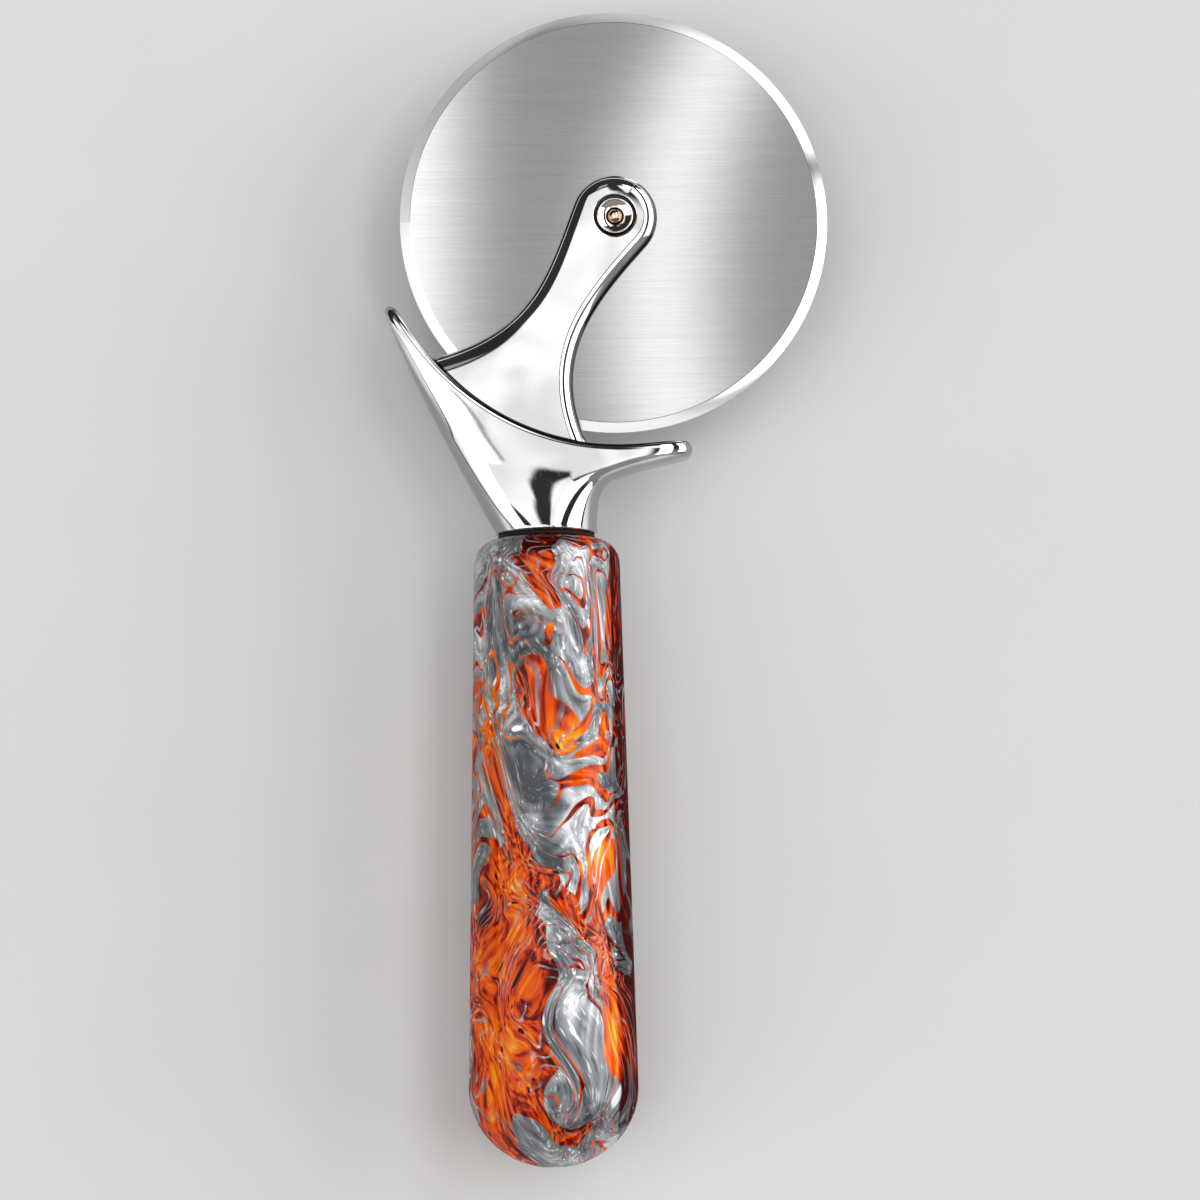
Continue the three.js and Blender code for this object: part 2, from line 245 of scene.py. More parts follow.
def threaded_rod(turn_share, along):
    """A share of a turn, as the angle a, and a height y give (r cos a, y, r sin a). The radius r falls by
    the thread's depth between the ridges, and is never more than the chamfer lets it be at the ends."""
    wave = (along / thread_pitch - turn_share) % 1
    ridge = np.clip(thread_slope * (0.5 - np.abs(wave - 0.5)), 0, 1)
    end_distance = np.minimum(along - stud_bottom, stud_top - along)
    chamfered = stud_radius - stud_chamfer + np.minimum(end_distance, stud_chamfer)
    radius = np.minimum(stud_radius - thread_depth * (1 - ridge), chamfered)
    angle = 2 * np.pi * turn_share
    return as_points(radius * np.cos(angle), along, radius * np.sin(angle))


rod = threaded_rod(np.linspace(0, 1, 49), np.linspace(stud_bottom, stud_top, 290)[:, None])
low_end, high_end = (np.broadcast_to([0, y, 0], rod[:1].shape) for y in (stud_bottom, stud_top))
zinc_stud = make_piece("zinc_stud", np.vstack([low_end, rod, high_end]), sharp_angle=50)

# %% [markdown]
# The stud screws into a brass insert with glue grooves and a knurl. Booleans could cut every tooth. It
# is simpler to turn the grooved profile and press its outer points in by a zigzag.

# %% Threaded insert
insert_radius = 6.35
insert_top, insert_bottom = -0.3, -25.3
groove_count = 3
groove_width = 1.6
groove_depth = 0.7
knurl_teeth = 36
knurl_depth = 0.18
STEPS_PER_TOOTH = 8


def knurled(sheet):
    """Moves points on the outer radius towards the axis by the depth times a zigzag, once for each tooth."""
    radius = np.hypot(sheet[..., 0], sheet[..., 2])
    tooth = np.abs((np.linspace(0, knurl_teeth, STEPS_PER_TOOTH * knurl_teeth + 1) % 1) * 2 - 1)
    cut = np.where(radius > insert_radius - 0.01, knurl_depth * tooth, 0)
    return sheet * as_points(1 - cut / radius, 1, 1 - cut / radius)


groove_pitch = (insert_top - insert_bottom) / (groove_count + 1)
groove_middle = insert_bottom + groove_pitch * np.arange(1, groove_count + 1)
groove_corners = np.stack([
    as_points(insert_radius - depth, groove_middle + side * groove_width / 2)
    for depth, side in ((0, -1), (groove_depth, -1), (groove_depth, 1), (0, 1))
], axis=1).reshape(-1, 2)
insert_corners = np.vstack([
    [[stud_hole, insert_bottom], [insert_radius, insert_bottom]],
    groove_corners,
    [[insert_radius, insert_top], [stud_hole, insert_top]],
])
sleeve = turned(eased(insert_corners, 0.2, 3), STEPS_PER_TOOTH * knurl_teeth, "handle")
brass_insert = make_piece("brass_insert", knurled(sleeve))

# %% [markdown]
# A soft black washer seals the joint and shows as a thin dark line. A plain ring would do from afar, but
# squeezed rubber bulges, so its rim is round and no hard corner glints.

# %% Neck washer
neck_radius = 12.0
washer_radius = 11.4
washer_thickness = 1.1
washer_bulge = 0.45
washer_rim = washer_radius - washer_bulge
washer_profile = np.vstack([
    [[stud_hole, 0], [washer_rim, 0]],
    arc((washer_rim, washer_thickness / 2), (washer_bulge, washer_thickness / 2), -90, 90, 13),
    [[stud_hole, washer_thickness], [stud_hole, 0]],
])
rubber_washer = turn_piece("rubber_washer", washer_profile, 160, "handle")

# %% [markdown]
# The neck and guard are the hardest form: a circle at the foot, and at the rim a long rounded bar along
# the wheel's edge, with two horns. A loft needs many hand-made loops. Here the front view comes first, as
# a patch between a foot line, two side curves and this rim.

# %% Rim of the guard
guard_radius = 54.5
guard_lip = 1.6
horn_flare = 1.5
ridge_angle = -104.0
left_horn = dict(side=-1, angle=-159.3, tip=1.2, foot_angle=119.3, foot_pull=17, tip_angle=111, tip_pull=17)
right_horn = dict(side=1, angle=-72.2, tip=1.9, foot_angle=90, foot_pull=13, tip_angle=12.7, tip_pull=20.5)


def heading(angle):
    """Unit vector at an angle in degrees."""
    return as_points(np.cos(np.radians(angle)), np.sin(np.radians(angle)))


def guard_rim(across, inset):
    """Point of an arc about the axle, a little wider towards the horns. Its angle is a parabola of across
    that passes through the left horn, the ridge and the right horn at -1, 0 and 1."""
    middle = (left_horn["angle"] + right_horn["angle"]) / 2
    half_span = (right_horn["angle"] - left_horn["angle"]) / 2
    radius = guard_radius + horn_flare * across**4 + guard_lip - inset
    angle = ridge_angle + across * half_span + across**2 * (middle - ridge_angle)
    return axle[:2] + radius[..., None] * heading(angle)


print("rim from", *(guard_rim(np.array(end), 0).round(2) for end in (-1.0, 1.0)))

# %% [markdown]
# Each side sweeps from the neck to below a horn's tip and turns round it. Drawn curves could do that,
# but a formula can be read anywhere, and the patch needs each side's bulge off a straight line.

# %% Sides and front view of the guard
neck_bottom = 1.1
neck_edge = 0.8
foot_height = neck_bottom + neck_edge


def bezier(t, a, b, c, d):
    """Cubic curve: the four points weighted by (1-t)^3, 3t(1-t)^2, 3t^2(1-t) and t^3."""
    t = np.asarray(t)[..., None]
    return (1 - t) ** 3 * a + 3 * t * (1 - t) ** 2 * b + 3 * t**2 * (1 - t) * c + t**3 * d


def guard_side(horn, t):
    """A sweep from the neck's foot to below the horn's tip, then a quarter circle round the tip. The
    share of t that the sweep takes makes the two run at one speed where they meet."""
    foot = np.array([horn["side"] * neck_radius, foot_height])
    outward = heading(horn["angle"])
    sideways = horn["side"] * np.array([-outward[1], outward[0]])
    tip = guard_rim(np.array(float(horn["side"])), 0)
    centre = tip - sideways * horn["tip"]
    under = centre + outward * horn["tip"]
    sweep_length = 3 * horn["tip_pull"]
    share = sweep_length / (sweep_length + horn["tip"] * np.pi / 2)
    foot_pull = foot + heading(horn["foot_angle"]) * horn["foot_pull"]
    tip_pull = under - heading(horn["tip_angle"]) * horn["tip_pull"]
    sweep = bezier(np.minimum(t / share, 1), foot, foot_pull, tip_pull, under)
    round_turn = np.clip((t - share) / (1 - share), 0, 1)[..., None] * np.pi / 2
    rounding = centre + horn["tip"] * (outward * np.cos(round_turn) + sideways * np.sin(round_turn))
    return np.where((t <= share)[..., None], sweep, rounding)


def guard_bulge(horn, t):
    """How far the side curve stands off the straight line between its ends."""
    first, last = guard_side(horn, np.array(0.0)), guard_side(horn, np.array(1.0))
    return guard_side(horn, t) - (first + (last - first) * t[..., None])


def guard_front(t, across):
    """Front view: a straight blend from foot to rim, plus each side's bulge, fading across the guard."""
    foot = as_points(neck_radius * across, foot_height)
    blend = foot + (guard_rim(across, 0) - foot) * t[..., None]
    left_share, right_share = ((1 - across) / 2) ** 2, ((1 + across) / 2) ** 2
    left_bulge = guard_bulge(left_horn, t) * left_share[..., None]
    right_bulge = guard_bulge(right_horn, t) * right_share[..., None]
    return blend + left_bulge + right_bulge


print("horn tips at", *(guard_side(horn, np.array(1.0)).round(2) for horn in (left_horn, right_horn)))

# %% [markdown]
# Now the front view gets its depth: the neck's circle turns into a thinner rounded rectangle, and a lip
# closes it. A subdivided cage would look alike, but it shrinks away from the measured outline.

# %% Neck and guard as one skin
guard_half_depth = 8.2
guard_squareness = 3.5
flat_from = 0.85
GUARD_COLUMNS, GUARD_ROWS, LIP_ROWS, EDGE_ROWS = 256, 96, 9, 7
loop_angle = np.linspace(0, 2 * np.pi, GUARD_COLUMNS + 1)


def rounded_loop(squareness):
    """Circle turned rounded rectangle: (cos, sin) over (|cos|^n + |sin|^n)^(1/n), as across and deep."""
    c, s = np.cos(loop_angle), np.sin(loop_angle)
    size = (np.abs(c) ** squareness + np.abs(s) ** squareness) ** (1 / squareness)
    return c / size, s / size


def as_sheet(front, deep):
    """Front view points with their depth as the third coordinate."""
    return np.concatenate([front, deep[..., None]], axis=-1)


def eased_share(share):
    """S-curve from 0 to 1: 3s^2 - 2s^3, flat at both ends."""
    share = np.clip(share, 0, 1)
    return share * share * (3 - 2 * share)


def neck_foot():
    """A flat disc that turns up into the neck through a quarter circle of the edge's radius."""
    edge_turn = np.radians(np.linspace(0, 90, EDGE_ROWS)[:-1])[:, None]
    radius = np.concatenate([[[0.0]], neck_radius - neck_edge * (1 - np.sin(edge_turn))])
    height = np.concatenate([[[neck_bottom]], neck_bottom + neck_edge * (1 - np.cos(edge_turn))])
    return as_points(radius * np.cos(loop_angle), height, radius * np.sin(loop_angle))


def guard_body():
    """Loops at a share t from foot to rim. Their squareness follows an S-curve in the upper half, and
    their half depth follows a quarter sine from the neck's radius to the guard's."""
    t = np.linspace(0, 1, GUARD_ROWS)[:, None]
    across, deep = rounded_loop(2 + (guard_squareness - 2) * eased_share(2 * t - 1))
    slope_share = np.sin(np.minimum(t / flat_from, 1) * np.pi / 2)
    half_depth = neck_radius + (guard_half_depth - neck_radius) * slope_share
    return as_sheet(guard_front(t, across), half_depth * deep)


def guard_lip_sheet():
    """The rim's loop drawn in by a quarter circle of the lip's radius, then filled to its middle line."""
    across, deep = rounded_loop(guard_squareness)
    half_length = guard_radius * math.radians(right_horn["angle"] - left_horn["angle"]) / 2
    lip_turn = np.radians(np.linspace(0, 90, LIP_ROWS)[1:])[:, None]
    inset = guard_lip * (1 - np.cos(lip_turn))
    front = guard_rim(across * (1 - inset / half_length), guard_lip * np.sin(lip_turn))
    lip = as_sheet(front, (guard_half_depth - inset) * deep)
    return np.vstack([lip, lip[-1:] * [1, 1, 0]])


head = make_piece("chrome_head", np.vstack([neck_foot(), guard_body(), guard_lip_sheet()]))

# %% [markdown]
# Each arm is a slab with an eye round the rivet, two free curves and a generous rounding. A bevel has
# one radius everywhere. Here each point has its own height and width of rounding, wide at the left foot
# and tight along the right edge.

# %% Outline of an arm
eye_radius = 10.1
root_radius = 59.8
arm_left = dict(leave=159, root=-142.4, heading=15.7, eye_pull=19.4, root_pull=24.7, turn=1)
arm_right = dict(leave=-42, root=-97.5, heading=113.7, eye_pull=17, root_pull=23.1, turn=-1)
eye_top = (arm_left["leave"] + arm_right["leave"]) / 2
root_middle = (arm_left["root"] + arm_right["root"]) / 2
ROOT_STEPS, SIDE_STEPS, EYE_STEPS = 12, 110, 70


def round_axle(radius, angle):
    """Point at a radius and an angle about the axle, in the front view."""
    return axle[:2] + radius * heading(angle)


def arm_half(edge):
    """Half an outline: out along the root, up the free curve, then round the eye to its top."""
    spoke = heading(edge["leave"])
    leave = round_axle(eye_radius, edge["leave"])
    root = round_axle(guard_radius, edge["root"])
    eye_pull = leave + edge["turn"] * np.array([-spoke[1], spoke[0]]) * edge["eye_pull"]
    root_pull = root + heading(edge["heading"]) * edge["root_pull"]
    side = bezier(np.linspace(1, 0, SIDE_STEPS), leave, eye_pull, root_pull, root)
    foot = round_axle(root_radius, np.linspace(root_middle, edge["root"], ROOT_STEPS))
    eye = round_axle(eye_radius, np.linspace(edge["leave"], eye_top, EYE_STEPS)[1:])
    return np.vstack([foot, side, eye])


def arm_rounding(foot_value, root_value, eye_value):
    """Size along half an outline: small in the hidden foot, then an S-curve from root to eye."""
    side = root_value + (eye_value - root_value) * eased_share(np.linspace(0, 1, SIDE_STEPS))
    return np.concatenate([np.full(ROOT_STEPS, foot_value), side, np.full(EYE_STEPS - 1, eye_value)])


def whole(left, right):
    """Both halves as one loop: up the left half and back down the right one."""
    return np.concatenate([left, right[-2:0:-1]])


left_half, right_half = arm_half(arm_left), arm_half(arm_right)
HALF = len(left_half)
outline = whole(left_half, right_half)
rounding = whole(arm_rounding(1.0, 4.2, 3.0), arm_rounding(1.0, 3.2, 3.0))
rounding_width = whole(arm_rounding(1.0, 7.0, 4.2), arm_rounding(1.0, 3.6, 3.4))
tangent = np.roll(outline, -1, axis=0) - np.roll(outline, 1, axis=0)
tangent = tangent / np.linalg.norm(tangent, axis=1, keepdims=True)
tangent[ROOT_STEPS], tangent[-ROOT_STEPS] = heading(arm_left["heading"]), -heading(arm_right["heading"])
inward = as_points(tangent[:, 1], -tangent[:, 0])
print("arm outline:", len(outline), "points, rounding from", rounding.min(), "to", rounding.max(), "mm")

# %% [markdown]
# A polished face is never flat. It drops near its free edges, which run on into the guard so that the
# swell doesn't stop at the joint. The arm's foot lies hidden in the guard.

# %% Swell, fill and foot of an arm
face_swell = 0.32
swell_reach = 6.5
root_step = 0.7
run_on = np.linspace(12, 0.5, 24)[:, None]
CAP_COLUMNS = 29
left_run, right_run = (
    half[ROOT_STEPS] - run_on * heading(edge["heading"])
    for half, edge in ((left_half, arm_left), (right_half, arm_right))
)
free_edge = np.vstack([left_run, left_half[ROOT_STEPS:], right_run, right_half[ROOT_STEPS:]])


def swell(points):
    """Drop of the face near its free edge: the swell times (1 - distance / reach) squared."""
    flat = points.reshape(-1, 2)
    distance = np.linalg.norm(flat[:, None] - free_edge[None], axis=2).min(axis=1).reshape(points.shape[:-1])
    return face_swell * (1 - np.minimum(distance / swell_reach, 1)) ** 2


def cap(loop, heights):
    """Fill of a loop: straight lines between the two halves' matching points."""
    left, right = loop[:HALF], np.vstack([loop[:1], loop[: HALF - 2 : -1]])
    share = np.linspace(0, 1, CAP_COLUMNS)[:, None]
    front = left[:, None] + (right - left)[:, None] * share
    return as_sheet(front, heights(front))


def hidden_foot(front):
    """Gives each loop a foot inside the guard: a curve about the axle whose radius changes with the share
    squared, from the root's radius to a step below the loop's own side."""
    share = np.linspace(0, 1, ROOT_STEPS)

    def half_foot(first):
        reach = first - axle[:2]
        angle = np.degrees(np.arctan2(reach[:, 1], reach[:, 0]))[:, None]
        end_radius = np.linalg.norm(reach, axis=1)[:, None] + root_step
        radius = root_radius + (end_radius - root_radius) * share**2
        return round_axle(radius[..., None], root_middle + (angle - root_middle) * share)

    left, right = half_foot(front[:, ROOT_STEPS]), half_foot(front[:, -ROOT_STEPS])
    return np.concatenate([left, front[:, ROOT_STEPS : 1 - ROOT_STEPS], right[:, :0:-1]], axis=1)


print("the face drops by up to", swell(outline).max().round(2), "mm at its edge")

# %% [markdown]
# The slab is a band of loops with a fill above and below. The hidden rear arm is taken as the mirror
# image of the front one, so one function makes both.

# %% Two arms
slot_half_width = 2.5
arm_face = 7.3
slot_edge = 0.45


def arm(name, side):
    """Slab between the slot and the face, on the side of the wheel that +1 or -1 gives. Each loop is the
    outline moved in by width times (1 - cos a), at the face's height less radius times (1 - sin a)."""
    low_turn = np.radians(np.linspace(0, 90, 5))[:, None]
    high_turn = np.radians(np.linspace(0, 90, 13))[:, None]
    low_inset = slot_edge * (1 - np.sin(low_turn)) + 0 * rounding
    low_height = slot_half_width + slot_edge * (1 - np.cos(low_turn)) + 0 * rounding
    high_inset = rounding_width * (1 - np.cos(high_turn))
    high_height = arm_face - rounding * (1 - np.sin(high_turn))
    inset = np.vstack([low_inset, high_inset])
    front = hidden_foot(outline + inset[..., None] * inward)
    height = np.vstack([low_height, high_height])
    fade = np.concatenate([np.zeros(len(low_turn)), np.sin(high_turn[:, 0])])[:, None]
    band = as_sheet(front, height - fade * swell(front))
    band = np.concatenate([band, band[:, :1]], axis=1)
    top = cap(band[-1, :-1, :2], lambda points: arm_face - swell(points))
    bottom = cap(band[0, :-1, :2], lambda points: np.full(points.shape[:-1], slot_half_width))
    return make_piece(name, *(sheet * [1, 1, side] for sheet in (band, top, bottom)))


front_arm, rear_arm = arm("front_arm", 1), arm("rear_arm", -1)

# %% [markdown]
# The head is one casting: the arms are joined to the guard, and slot, rivet hole, counterbores and stud
# bore are cut last, as in the workshop. Boolean modifiers, applied at once, leave no tool in the scene.

# %% Joining and boring the head
counterbore_radius = 5.0
counterbore_floor = 5.3
counterbore_mouth = 0.4
shank_hole = 3.05
stud_bore_top = 14.4
overrun = 1.5


def combine(piece, tool, operation):
    """Adds the tool to the piece or cuts it away, and removes the tool."""
    step = piece.modifiers.new(operation, "BOOLEAN")
    step.operation = operation
    step.solver = "MANIFOLD"
    step.object = tool
    graph = bpy.context.evaluated_depsgraph_get()
    made = bpy.data.meshes.new_from_object(piece.evaluated_get(graph))
    piece.modifiers.clear()
    piece.data = made
    bpy.data.objects.remove(tool)


def rod_profile(radius, low, high):
    """Profile of a plain rod, from its axis round its side and back."""
    return [[0, low], [radius, low], [radius, high], [0, high]]


def counterbore(side):
    """Profile of a flat-bottomed hole with a rounded mouth, from its floor out past the face."""
    mouth_middle = (counterbore_radius + counterbore_mouth, arm_face - counterbore_mouth)
    mouth = arc(mouth_middle, (counterbore_mouth, counterbore_mouth), 180, 98, 8)
    profile = np.vstack([
        [[0, counterbore_floor], [counterbore_radius, counterbore_floor]],
        mouth,
        [[mouth[-1, 0], arm_face + overrun], [0, arm_face + overrun]],
    ])
    return profile * [1, side]


def cut(name, profile, about, sides):
    """Turns a tool from its profile and cuts it out of the head."""
    combine(head, turn_piece(name, profile, sides, about), "DIFFERENCE")


slot_radius = guard_radius + 0.8
slot_depth = slot_half_width + 0.01
through = arm_face + overrun
cut("slot_tool", rod_profile(slot_radius, -slot_depth, slot_depth), "axle", 240)
combine(head, front_arm, "UNION")
combine(head, rear_arm, "UNION")
cut("shank_tool", rod_profile(shank_hole, -through, through), "axle", 96)
cut("front_counterbore_tool", counterbore(1), "axle", 144)
cut("rear_counterbore_tool", counterbore(-1), "axle", 144)
cut("stud_bore_tool", rod_profile(stud_hole, neck_bottom - overrun, stud_bore_top), "handle", 96)
shade(head.data, SHARP_ANGLE)
describe(head)

# %% [markdown]
# The wheel is a disc with both rims ground to an edge, and a tiny land shows as a fine line there. A
# bevelled cylinder has flat bevels. A grinding stone leaves them a little hollow, as in this profile.

# %% Blade
bevel_width = 2.35
edge_half_thickness = 0.15
edge_round = 0.06
bevel_hollow = 0.03
land_width = 0.12
land_drop = 0.02
blade_hole = 4.95
hole_chamfer = 0.1
face_start = 7
bevel_start = blade_radius - bevel_width
bevel_share = np.linspace(0, 1, 9)
bevel_radius = blade_radius - bevel_width * (1 - bevel_share)
bevel_height = (
    blade_face - land_drop
    + (edge_half_thickness - blade_face + land_drop) * bevel_share
    - bevel_hollow * 4 * bevel_share * (1 - bevel_share)
)
edge_middle = (blade_radius - edge_round, edge_half_thickness - edge_round)
upper = np.vstack([
    [[blade_hole, blade_face - hole_chamfer], [blade_hole + hole_chamfer, blade_face]],
    as_points(np.linspace(face_start, bevel_start - land_width, 10), blade_face),
    as_points(bevel_radius, bevel_height),
    arc(edge_middle, (edge_round, edge_round), 90, 0, 4),
])
blade_profile = np.vstack([upper, upper[::-1] * [1, -1], upper[:1]])
steel_blade = turn_piece("steel_blade", blade_profile, 360, "axle", sharp_angle=6)

# %% [markdown]
# The axle is a rivet: a head in the rear counterbore, and a thin end peened to a dome over a dished cup
# in front. Spheres and cylinders would do from afar, but these turnings sparkle, so they get more steps.

# %% Rivet and cup
rivet_shank = 2.75
rivet_tenon = 1.8
rivet_head = 4.4
rivet_edge = 0.08
head_seat = -5.6
head_rim = 0.6
head_dome = 0.9
tenon_top = 5.8
tip_height = 1.5
rivet_profile = np.vstack([
    arc((0, head_seat - head_rim), (rivet_head, head_dome), -90, 0, 20),
    [[rivet_head, head_seat - rivet_edge], [rivet_head - rivet_edge, head_seat], [rivet_shank, head_seat]],
    [[rivet_shank, counterbore_floor], [rivet_tenon, counterbore_floor]],
    arc((0, tenon_top), (rivet_tenon, tip_height), 0, 90, 20),
])
nickel_rivet = turn_piece("nickel_rivet", rivet_profile, 128, "axle")

cup_radius = 4.3
cup_hole = 2.1
cup_floor = 5.6
cup_wall = 0.5
cup_rim_top = 7.2
cup_rim = 0.275
bowl_curve = 0.55
rim_middle = (cup_radius - cup_rim, cup_rim_top - cup_rim)
bowl_start = rim_middle[0] - cup_rim
bowl_depth = rim_middle[1] - (cup_floor + cup_wall)
bowl_share = np.linspace(0, 1, 16)[1:]
bowl = as_points(
    bowl_start + (cup_hole - bowl_start) * bowl_share,
    rim_middle[1] - bowl_depth * ((1 + bowl_curve) * bowl_share - bowl_curve * bowl_share**2),
)
cup_corners = [[cup_hole, cup_floor + cup_wall], [cup_hole, cup_floor], [cup_radius, cup_floor]]
cup_profile = np.vstack([
    eased(cup_corners, 0.1)[5:-6],
    arc(rim_middle, (cup_rim, cup_rim), 0, 180, 13),
    bowl,
])
cup_profile = np.vstack([cup_profile, cup_profile[:1]])
nickel_cup = turn_piece("nickel_cup", cup_profile, 128, "axle")

# %% [markdown]
# The wheel turns on a bronze bush between two nylon washers. They hardly show, but the part comes apart,
# so they are made like the rest: rings with eased corners.

# %% Bush and thrust washers
bush_bore, bush_radius, bush_half = 2.85, 4.65, 0.8
thrust_radius, thrust_near, thrust_far = 7.0, 1.1, 2.2


def ring(bore, radius, low, high, reach):
    """Profile of a ring between two radii and two heights, with its corners eased over a reach."""
    return eased([[bore, low], [radius, low], [radius, high], [bore, high]], reach)


thrust_ring = ring(shank_hole, thrust_radius, thrust_near, thrust_far, 0.25)
bush_ring = ring(bush_bore, bush_radius, -bush_half, bush_half, 0.12)
bronze_bush = turn_piece("bronze_bush", bush_ring, 128, "axle")
nylon_front = turn_piece("nylon_front", thrust_ring, 128, "axle")
nylon_rear = turn_piece("nylon_rear", thrust_ring * [1, -1], 128, "axle")

# %% [markdown]
# Materials are graphs of nodes, and long graphs are hard to read as calls. So one small class wraps an
# output socket. Operators on it add Math nodes, and its node method adds any other kind: settings first,
# then a value or a link for each input.

# %% Node graphs as Python expressions
MIX_FACTOR, MIX_LOW, MIX_HIGH, MIX_COLOUR = 0, 6, 7, 2


def feed(socket, value):
    """Links a wire to an input socket, or sets a plain value on it."""
    if isinstance(value, Wire):
        value.tree.links.new(value.socket, socket)
    else:
        socket.default_value = value


def operator(operation, reflected=False):
    """Method for one of Python's operators: a Math node on two values, in the order they are written."""
    def apply(self, other):
        values = (other, self) if reflected else (self, other)
        return self.math(operation, *values)
    return apply


class Wire:
    """One output of a node, usable in arithmetic."""

    def __init__(self, tree, socket):
        self.tree = tree
        self.socket = socket

    def node(self, kind, settings=None, inputs=None, output=0):
        """Adds a node of that kind and returns one of its outputs."""
        made = self.tree.nodes.new("ShaderNode" + kind)
        for name, value in (settings or {}).items():
            setattr(made, name, value)
        for key, value in (inputs or {}).items():
            feed(made.inputs[key], value)
        return Wire(self.tree, made.outputs[output])

    def math(self, operation, *values):
        """A Math node on numbers."""
        return self.node("Math", {"operation": operation}, dict(enumerate(values)))

    def vector(self, operation, other):
        """A Vector Math node on this vector and another."""
        return self.node("VectorMath", {"operation": operation}, {0: self, 1: other})

    __add__, __radd__ = operator("ADD"), operator("ADD", True)
    __sub__, __rsub__ = operator("SUBTRACT"), operator("SUBTRACT", True)
    __mul__, __rmul__ = operator("MULTIPLY"), operator("MULTIPLY", True)
    __truediv__, __rtruediv__ = operator("DIVIDE"), operator("DIVIDE", True)
    __pow__, __rpow__ = operator("POWER"), operator("POWER", True)

    def __abs__(self):
        return self.math("ABSOLUTE", self)

    def sine(self):
        return self.math("SINE", self)

    def larger(self, other):
        """The larger of two values."""
        return self.math("MAXIMUM", self, other)

    def bell(self):
        """Bell curve: e to the minus of this value, which is a squared distance."""
        power = self * -1
        return power.math("EXPONENT", power)

    def bearing(self, across):
        """Angle in degrees of a place this far up and so far across."""
        return self.math("ARCTAN2", self, across) * (180 / math.pi)

    def reach(self, other):
        """Length of the diagonal over two sides: the root of the sum of their squares."""
        return (self * self + other * other) ** 0.5

    def step(self, low, high):
        """0 below low, 1 above high, and an S-curve between."""
        settings = {"interpolation_type": "SMOOTHSTEP"}
        return self.node("MapRange", settings, {"Value": self, "From Min": low, "From Max": high})

    def mapped(self, **inputs):
        """These coordinates scaled, turned and moved by a Mapping node."""
        return self.node("Mapping", None, {"Vector": self, **inputs})

    def noise(self, scale, detail=2.0, roughness=0.5, distortion=0.0, output=0):
        """Cloudy noise at this place; output 1 is a vector of three noises."""
        inputs = {"Scale": scale, "Detail": detail, "Roughness": roughness, "Distortion": distortion}
        return self.node("TexNoise", None, {"Vector": self, **inputs}, output)

    def mix(self, low, high):
        """Colour that goes from low to high as this value goes from 0 to 1."""
        settings = {"data_type": "RGBA", "clamp_factor": True}
        return self.node("Mix", settings, {MIX_FACTOR: self, MIX_LOW: low, MIX_HIGH: high}, MIX_COLOUR)

    def ramp(self, stops):
        """Colour from a list of values and their colours, blended in between."""
        made = self.node("ValToRGB", None, {0: self})
        elements = made.socket.node.color_ramp.elements
        while len(elements) < len(stops):
            elements.new(0.5)
        for element, (value, colour) in zip(elements, stops):
            element.position = value
            element.color = (*colour, 1)
        return made

    def axes(self):
        """The three coordinates of a vector."""
        split = self.node("SeparateXYZ", None, {0: self})
        return [Wire(self.tree, socket) for socket in split.socket.node.outputs]


print("a wire offers", len(vars(Wire)), "attributes")

# %% [markdown]
# Every finish reads its object's own coordinates in millimetres, so a pattern keeps its place when the
# part moves. Inputs that don't vary are set on the sockets directly, and the others are linked.

# %% Starting and closing a material
def finish(name, centre=(0, 0, 0)):
    """A new material and a wire of Object coordinates in millimetres from the centre."""
    material = bpy.data.materials.new(name)
    material.use_nodes = True
    coordinates = material.node_tree.nodes.new("ShaderNodeTexCoord")
    place = Wire(material.node_tree, coordinates.outputs["Object"])
    origin = seat / MM + np.array(centre)
    return material, place.mapped(Location=tuple(-origin), Scale=(1 / MM,) * 3)


def connect(material, **sockets):
    """Feeds the inputs of a material's shader, and prints how many nodes the material has."""
    nodes = material.node_tree.nodes
    for name, value in sockets.items():
        label = name.replace("_", " ").title().replace("Ior", "IOR")
        feed(nodes["Principled BSDF"].inputs[label], value)
    print(material.name, "has", len(nodes), "nodes")


def bump(height, strength, distance):
    """Normal of a surface that is raised by height times the distance, in metres."""
    return height.node("Bump", None, {"Strength": strength, "Distance": distance, "Height": height})


print("the finishes start from", len(bpy.data.materials), "materials of the packed model")

# %% [markdown]
# Chrome is a nearly perfect mirror, and a plain one looks too clean. Shade is painted into its colour in
# some places: darker reflections on the guard's thin flanks, which face the table, painted shadow lines
# along its rim and the arm's right edge, and painted shade in the bore round the cup. Light could do that
# for one view, but masks by place hold from every side.

# %% Painted shade on the chrome
chrome, place = finish("chrome plate")
x, y, z = place.axes()
from_axle_x, from_axle_y = x - float(axle[0]), y - float(axle[1])
from_axle = from_axle_x.reach(from_axle_y)
in_bore = 1 - from_axle.step(counterbore_radius - 0.1, counterbore_radius + 0.15)
# Painted shade: the bore round the cup, the guard's flanks, and shadow lines along the rim and the arm's
# right edge.
painted_recess_shade = in_bore * (1 - abs(z).step(arm_face - 0.5, arm_face - 0.3))
on_guard = from_axle.step(guard_radius - 1.0, guard_radius)
painted_flank_shade = (1 - (abs(z) + y * 0.06).step(6.6, 8.2)) * on_guard
right_of_arm = (from_axle_x * 0.866 - from_axle_y * 0.5).step(0.0, 1.5)
painted_edge_shade = (1 - abs(z).step(5.8, 6.4)) * right_of_arm * (1 - on_guard)
rim_start = from_axle.step(guard_radius - 0.2, guard_radius)
painted_rim_shadow = rim_start * (1 - from_axle.step(guard_radius + 0.55, guard_radius + 0.8))
print("masks take", len(chrome.node_tree.nodes), "nodes")

# %% [markdown]
# Soft ripples from hand polishing bend the reflections. They could be modelled, but a bump leaves the
# outline alone. Hairlines and haze dull the plate, and its tone wanders between white and pale grey.

